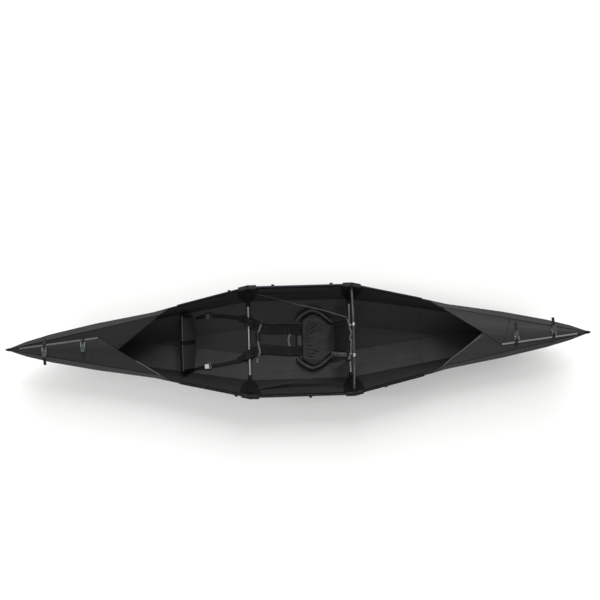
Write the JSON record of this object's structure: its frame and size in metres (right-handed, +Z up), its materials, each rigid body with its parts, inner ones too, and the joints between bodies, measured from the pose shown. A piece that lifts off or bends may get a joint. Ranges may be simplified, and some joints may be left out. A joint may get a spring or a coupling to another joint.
{
  "type": "folding kayak",
  "caption": "Open-cockpit kayak folded from corrugated sheet, with latched deck flaps, gunwale rails, ribs, harness seat and sliding footrest.",
  "frame": {"origin": "on the ground under the middle of the hull", "axes": "+X towards the stern, +Y to starboard, +Z up"},
  "size_m": [3.69, 0.7218, 0.3781],
  "materials": {
    "sheet": "black twin-wall corrugated polypropylene sheet, fine ribs, low sheen",
    "deck": "the same corrugated sheet, lit from above",
    "moulded": "black injection-moulded nylon, fine grain",
    "aluminium": "clear anodised extrusion and tube",
    "steel": "bright stainless steel, lightly worn",
    "lever": "smoky moulded plastic lever",
    "ladder_strap": "black moulded ladder strap",
    "webbing": "black woven webbing",
    "padding": "black woven nylon over foam"
  },
  "bodies": {
    "hull": {"hull_skin": "sheet", "bow_tip_cap": "moulded", "stern_tip_cap": "moulded", "gunwale_port_bow": "aluminium", "gunwale_port_mid": "aluminium", "gunwale_port_stern": "aluminium", "gunwale_starboard_bow": "aluminium", "gunwale_starboard_mid": "aluminium", "gunwale_starboard_stern": "aluminium", "knuckle_port_bow": "moulded", "knuckle_port_stern": "moulded", "knuckle_starboard_bow": "moulded", "knuckle_starboard_stern": "moulded", "rib_tube_bow": "aluminium", "rib_tube_stern": "aluminium", "rib_arm_port_bow": "moulded", "rib_arm_port_stern": "moulded", "rib_arm_starboard_bow": "moulded", "rib_arm_starboard_stern": "moulded", "thwart": "aluminium", "hook_port": "steel", "hook_starboard": "steel", "seat_pad": "padding", "seat_rim_port": "padding", "seat_rim_starboard": "padding", "stay_port": "webbing", "stay_starboard": "webbing", "shoulder_strap_port": "padding", "shoulder_strap_starboard": "padding", "cam_buckle_port": "steel", "cam_buckle_starboard": "steel", "sternum_strap": "webbing", "haul_handle": "webbing"},
    "bow_top": {"bow_top_flap": "deck", "bow_rail": "aluminium", "bow_inner_strap": "ladder_strap", "bow_inner_ratchet": "steel", "bow_outer_strap": "ladder_strap", "bow_outer_ratchet": "steel"},
    "bow_under": {"bow_under_flap": "deck"},
    "bow_inner_latch": {"bow_inner_lever": "lever"},
    "bow_outer_latch": {"bow_outer_lever": "lever"},
    "stern_top": {"stern_top_flap": "deck", "stern_rail": "aluminium", "stern_inner_strap": "ladder_strap", "stern_inner_ratchet": "steel", "stern_outer_strap": "ladder_strap", "stern_outer_ratchet": "steel"},
    "stern_under": {"stern_under_flap": "deck"},
    "stern_inner_latch": {"stern_inner_lever": "lever"},
    "stern_outer_latch": {"stern_outer_lever": "lever"},
    "back_support": {"backrest": "padding", "backrest_band": "webbing"},
    "foot_support": {"footrest": "sheet", "footrest_bar": "aluminium", "footrest_strap": "webbing"},
    "port_cam": {"cam_lever_port": "steel"},
    "starboard_cam": {"cam_lever_starboard": "steel"}
  },
  "joints": [
    {"name": "bow_deck_open", "type": "hinge", "parent": "hull", "child": "bow_top", "pos_m": [-0.88, -0.193, 0.325], "axis": [0.9805, -0.1961, -0.0132], "range_deg": [0, 130], "deforming": ["bow_inner_strap", "bow_outer_strap"]},
    {"name": "bow_under_open", "type": "hinge", "parent": "hull", "child": "bow_under", "pos_m": [-0.88, 0.193, 0.325], "axis": [-0.9805, -0.1961, 0.0132], "range_deg": [0, 80]},
    {"name": "stern_deck_open", "type": "hinge", "parent": "hull", "child": "stern_top", "pos_m": [0.88, 0.193, 0.325], "axis": [-0.9805, 0.1961, -0.0132], "range_deg": [0, 130], "deforming": ["stern_inner_strap", "stern_outer_strap"]},
    {"name": "stern_under_open", "type": "hinge", "parent": "hull", "child": "stern_under", "pos_m": [0.88, -0.193, 0.325], "axis": [0.9805, 0.1961, 0.0132], "range_deg": [0, 80]},
    {"name": "bow_inner_latch_open", "type": "hinge", "parent": "bow_top", "child": "bow_inner_latch", "pos_m": [-1.36161, 0.02086, 0.37019], "axis": [-1, 0, 0], "range_deg": [0, 75]},
    {"name": "bow_outer_latch_open", "type": "hinge", "parent": "bow_top", "child": "bow_outer_latch", "pos_m": [-1.60146, -0.00497, 0.36335], "axis": [-1, 0, 0], "range_deg": [0, 75]},
    {"name": "stern_inner_latch_open", "type": "hinge", "parent": "stern_top", "child": "stern_inner_latch", "pos_m": [1.36161, -0.02086, 0.37019], "axis": [1, 0, 0], "range_deg": [0, 75]},
    {"name": "stern_outer_latch_open", "type": "hinge", "parent": "stern_top", "child": "stern_outer_latch", "pos_m": [1.60146, 0.00497, 0.36335], "axis": [1, 0, 0], "range_deg": [0, 75]},
    {"name": "backrest_fold", "type": "hinge", "parent": "hull", "child": "back_support", "pos_m": [0.231, 0, 0.062], "axis": [0, -1, 0], "range_deg": [0, 70], "deforming": ["backrest_band"]},
    {"name": "footrest_slide", "type": "slide", "parent": "hull", "child": "foot_support", "axis": [-1, 0, 0], "range_m": [0, 0.06]},
    {"name": "port_cam_open", "type": "hinge", "parent": "hull", "child": "port_cam", "pos_m": [-0.59656, -0.15737, 0.04653], "axis": [-0.1378, 0.9526, -0.2711], "range_deg": [0, 80]},
    {"name": "starboard_cam_open", "type": "hinge", "parent": "hull", "child": "starboard_cam", "pos_m": [-0.58156, 0.16738, 0.04871], "axis": [0.1148, 0.9554, 0.2722], "range_deg": [0, 80]}
  ],
  "couplings": [
    {"joint": "bow_under_open", "follows": "bow_deck_open", "ratio": 0.6},
    {"joint": "stern_under_open", "follows": "stern_deck_open", "ratio": 0.6}
  ]
}
